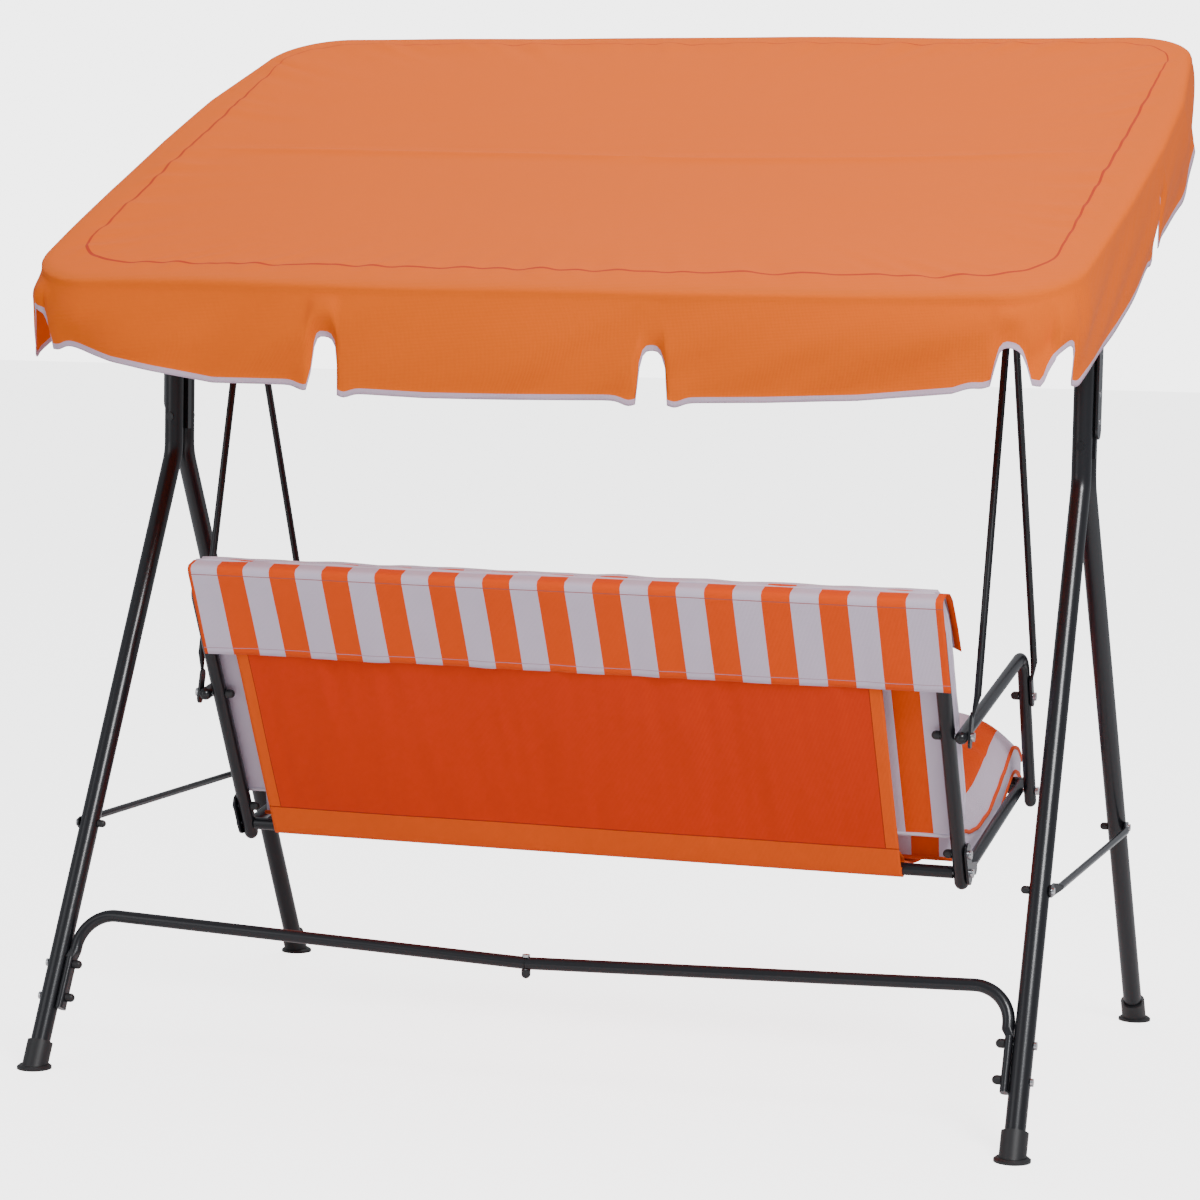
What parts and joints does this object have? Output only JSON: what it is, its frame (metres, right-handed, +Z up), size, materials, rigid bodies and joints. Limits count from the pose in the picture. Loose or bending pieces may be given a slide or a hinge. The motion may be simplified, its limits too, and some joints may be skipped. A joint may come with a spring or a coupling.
{
  "type": "glider swing",
  "caption": "Three-seat garden swing: a padded bench on hanger rods swings under a two-post tube stand with a tilting scalloped fabric canopy.",
  "frame": {"origin": "bottom centre of the whole swing's box, on the ground", "axes": "+Z up, -Y the way the sitters face, +X to the sitters' left along the bench"},
  "size_m": [1.7586, 1.2182, 1.7902],
  "materials": {
    "black_paint": "satin powder coat on steel tube",
    "black_plastic": "fine moulded grain",
    "zinc_steel": "bright zinc plate",
    "canopy_fabric": "thin woven polyester, slightly see-through",
    "sling_fabric": "tight woven polyester",
    "cushion_fabric": "striped woven polyester over fibre filling"
  },
  "bodies": {
    "stand": {"leg_rear_left": "black_paint", "leg_rear_right": "black_paint", "leg_front_left": "black_paint", "leg_front_right": "black_paint", "foot_rear_left": "black_plastic", "foot_rear_right": "black_plastic", "foot_front_left": "black_plastic", "foot_front_right": "black_plastic", "crossbar_left": "black_paint", "crossbar_right": "black_paint", "hanger_bracket_left": "black_paint", "hanger_bracket_right": "black_paint", "swing_pins": "zinc_steel", "brace_left": "black_paint", "brace_right": "black_paint", "stabiliser_left": "black_paint", "stabiliser_right": "black_paint", "leg_top_bolts": "black_paint", "leg_top_nut_caps": "black_plastic", "brace_bolts": "zinc_steel", "brace_nut_caps": "black_plastic", "stabiliser_bolts": "zinc_steel", "stabiliser_nut_caps": "black_plastic", "tilt_plate_left": "black_paint", "tilt_plate_right": "black_paint", "tilt_bolts": "zinc_steel"},
    "canopy": {"canopy_side_left": "black_paint", "canopy_side_right": "black_paint", "canopy_front_tube": "black_paint", "canopy_rear_tube": "black_paint", "canopy_bracket_left": "black_paint", "canopy_bracket_right": "black_paint", "canopy_cover": "canopy_fabric"},
    "seat": {"hanger_rear_left": "black_paint", "hanger_rear_right": "black_paint", "hanger_front_left": "black_paint", "hanger_front_right": "black_paint", "arm_left": "black_paint", "arm_right": "black_paint", "back_frame_left": "black_paint", "back_frame_right": "black_paint", "back_lower_bar": "black_paint", "seat_rail_left": "black_paint", "seat_rail_right": "black_paint", "seat_front_bar": "black_paint", "arm_bolts": "zinc_steel", "arm_nut_caps": "black_plastic", "rail_bolts": "zinc_steel", "rail_nut_caps": "black_plastic", "back_sling": "sling_fabric", "seat_sling": "sling_fabric", "back_cushion": "cushion_fabric", "seat_cushion": "cushion_fabric", "back_hood": "cushion_fabric"},
    "knob_left": {"tilt_knob_left": "black_plastic"},
    "knob_right": {"tilt_knob_right": "black_plastic"}
  },
  "joints": [
    {"name": "seat_swing", "type": "hinge", "parent": "stand", "child": "seat", "pos_m": [0, 0.05714, 1.357], "axis": [1, 0, 0], "range_deg": [-20, 20]},
    {"name": "canopy_tilt", "type": "hinge", "parent": "stand", "child": "canopy", "pos_m": [0, 0.05714, 1.47], "axis": [1, 0, 0], "range_deg": [-10, 34]},
    {"name": "tilt_knob_left_turn", "type": "hinge", "parent": "stand", "child": "knob_left", "pos_m": [0.8525, 0.05714, 1.47], "axis": [1, 0, 0], "continuous": true},
    {"name": "tilt_knob_right_turn", "type": "hinge", "parent": "stand", "child": "knob_right", "pos_m": [-0.8525, 0.05714, 1.47], "axis": [1, 0, 0], "continuous": true}
  ]
}
